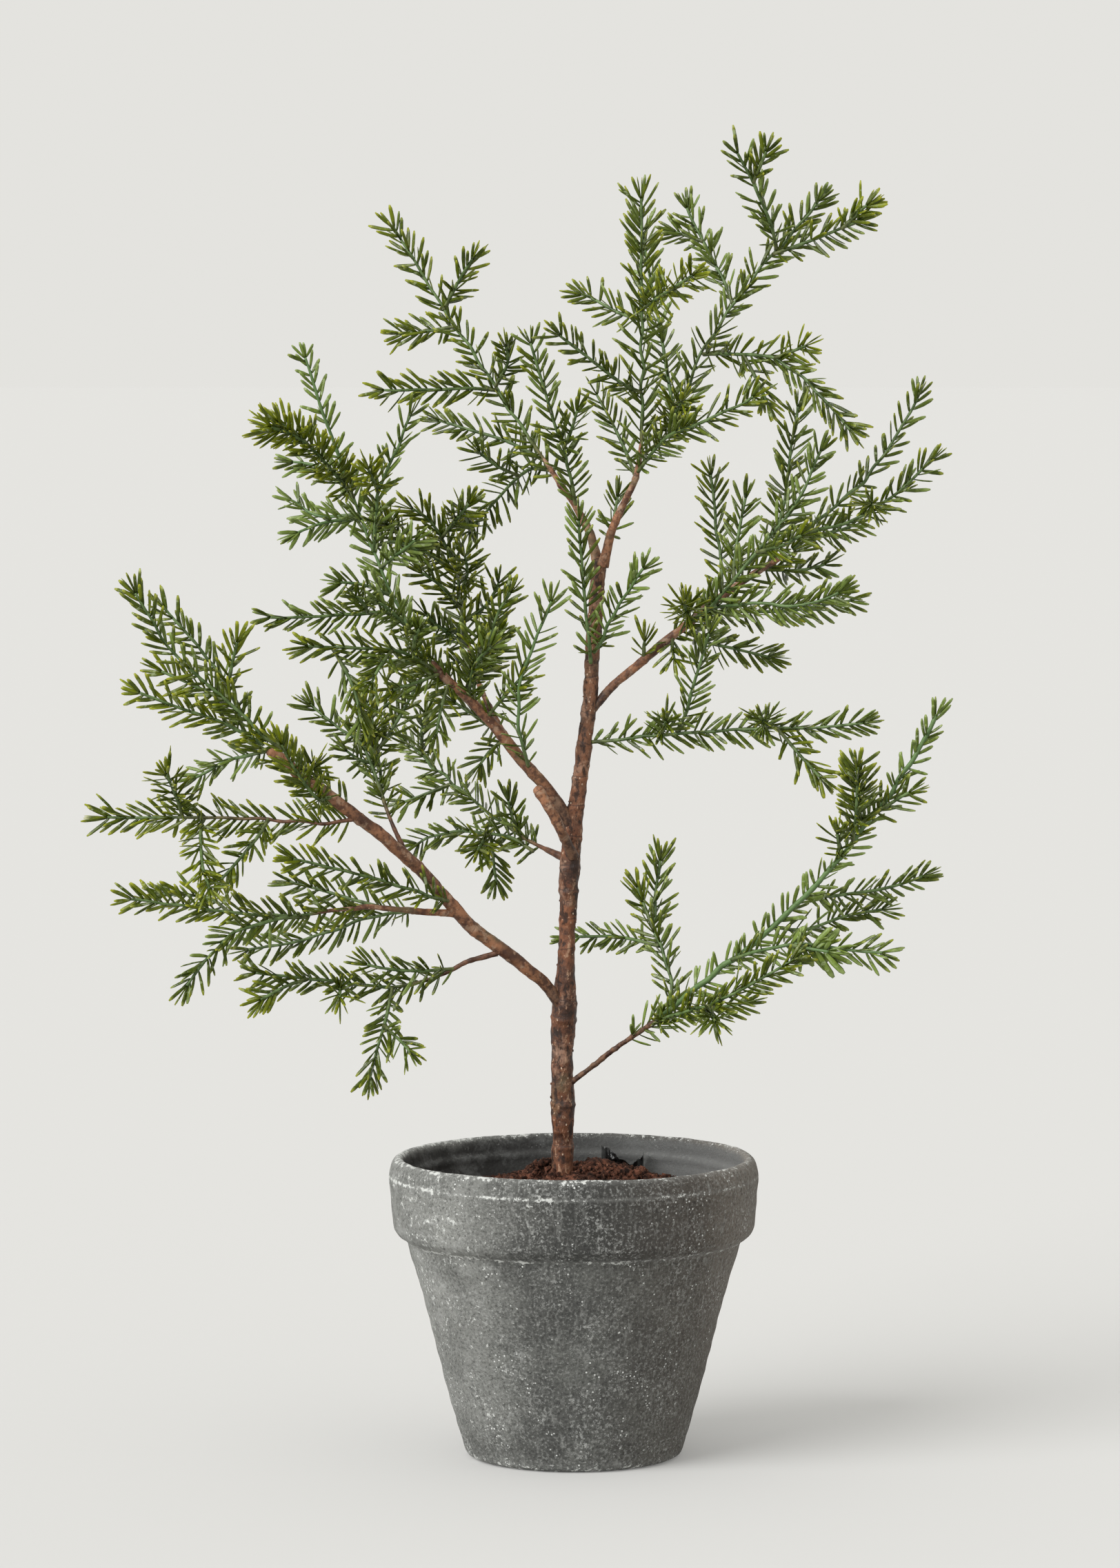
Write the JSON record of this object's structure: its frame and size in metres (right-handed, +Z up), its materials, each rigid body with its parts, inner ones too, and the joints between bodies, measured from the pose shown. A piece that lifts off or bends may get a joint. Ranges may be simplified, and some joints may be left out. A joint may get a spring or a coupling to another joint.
{
  "type": "artificial tabletop tree",
  "caption": "Potted artificial conifer: a wrapped wire trunk with bendable limbs and flat needle sprigs, set in a weighted plug in a stepped clay pot.",
  "frame": {"origin": "centre of the pot's flat base", "axes": "+Z up the trunk, +X to the right of the front view, +Y to the back"},
  "size_m": [0.4064, 0.2063, 0.6391],
  "materials": {
    "pot": "rough, lime-washed",
    "cement": "rough",
    "film": "crumpled, glossy",
    "coir": "loose fibre, matte",
    "steel": "drawn wire",
    "bark": "mottled bark wrap",
    "limb_wrap": "satin tape wrap",
    "needles": "moulded, satin"
  },
  "bodies": {
    "pot": {"pot": "pot"},
    "tree": {"root_plug": "cement", "plug_liner": "film", "coir_topping": "coir", "trunk_core": "steel", "trunk_bark": "bark", "trunk_cut_stub": "limb_wrap", "trunk_left_sprig": "needles", "trunk_right_sprig": "needles"},
    "lower_left_limb": {"lower_left_stem": "limb_wrap", "lower_left_arm": "needles", "lower_left_riser": "needles", "lower_left_wire": "needles", "lower_left_end_sprig": "needles", "lower_left_tip_sprig": "needles", "lower_left_second_tip_sprig": "needles", "lower_left_front_sprig": "needles", "lower_left_mid_sprig": "needles", "lower_left_long_sprig": "needles", "lower_left_hanging_sprig": "needles", "lower_left_under_sprig": "needles", "lower_left_rear_sprig": "needles", "lower_left_shoulder_sprig": "needles"},
    "middle_left_limb": {"middle_left_stem": "limb_wrap", "middle_left_riser": "needles", "middle_left_main_sprig": "needles", "middle_left_upper_arm_sprig": "needles", "middle_left_lower_arm_sprig": "needles", "middle_left_front_sprig": "needles", "middle_left_top_sprig": "needles", "middle_left_crown_sprig": "needles", "middle_left_inner_sprig": "needles"},
    "rear_left_limb": {"rear_left_stem": "needles", "rear_left_low_sprig": "needles"},
    "upper_right_limb": {"upper_right_stem": "limb_wrap", "upper_right_front_sprig": "needles", "upper_right_upright_sprig": "needles", "upper_right_tall_sprig": "needles", "upper_right_tip_sprig": "needles", "upper_right_side_sprig": "needles", "upper_right_low_sprig": "needles"},
    "side_right_limb": {"side_right_sprig": "needles", "side_right_upright_sprig": "needles"},
    "low_right_limb": {"low_right_stem": "limb_wrap", "low_right_main_sprig": "needles", "low_right_upright_sprig": "needles", "low_right_inner_sprig": "needles", "low_right_front_sprig": "needles", "low_right_broad_sprig": "needles", "low_right_outer_sprig": "needles"},
    "left_leader": {"left_leader_stem": "needles", "left_leader_side_sprig": "needles", "left_leader_low_sprig": "needles", "left_leader_inner_sprig": "needles"},
    "right_leader": {"right_leader_stem": "needles", "right_leader_outer_sprig": "needles", "right_leader_top_sprig": "needles", "right_leader_rear_sprig": "needles", "right_leader_drooping_sprig": "needles", "right_leader_front_sprig": "needles"}
  },
  "joints": [
    {"name": "tree_lift", "type": "slide", "parent": "pot", "child": "tree", "axis": [0, 0, 1], "range_m": [0, 0.15]},
    {"name": "lower_left_bend", "type": "hinge", "parent": "tree", "child": "lower_left_limb", "pos_m": [-0.0085, -0.001, 0.2245], "axis": [0, 1, 0], "range_deg": [-8, 8]},
    {"name": "middle_left_bend", "type": "hinge", "parent": "tree", "child": "middle_left_limb", "pos_m": [-0.0045, 0, 0.314], "axis": [0, 1, 0], "range_deg": [-8, 8]},
    {"name": "rear_left_bend", "type": "hinge", "parent": "tree", "child": "rear_left_limb", "pos_m": [-0.006, 0.002, 0.2925], "axis": [0, 1, 0], "range_deg": [-8, 8]},
    {"name": "upper_right_bend", "type": "hinge", "parent": "tree", "child": "upper_right_limb", "pos_m": [0.011, 0, 0.3675], "axis": [0, -1, 0], "range_deg": [-8, 8]},
    {"name": "side_right_bend", "type": "hinge", "parent": "tree", "child": "side_right_limb", "pos_m": [0.0095, -0.0005, 0.348], "axis": [0, -1, 0], "range_deg": [-8, 8]},
    {"name": "low_right_bend", "type": "hinge", "parent": "tree", "child": "low_right_limb", "pos_m": [-0.0005, -0.001, 0.1835], "axis": [0, -1, 0], "range_deg": [-8, 8]},
    {"name": "left_leader_bend", "type": "hinge", "parent": "tree", "child": "left_leader", "pos_m": [0.011, 0.0018, 0.4385], "axis": [0, -1, 0], "range_deg": [-8, 8]},
    {"name": "right_leader_bend", "type": "hinge", "parent": "tree", "child": "right_leader", "pos_m": [0.015, -0.0018, 0.4385], "axis": [0, 1, 0], "range_deg": [-8, 8]}
  ]
}
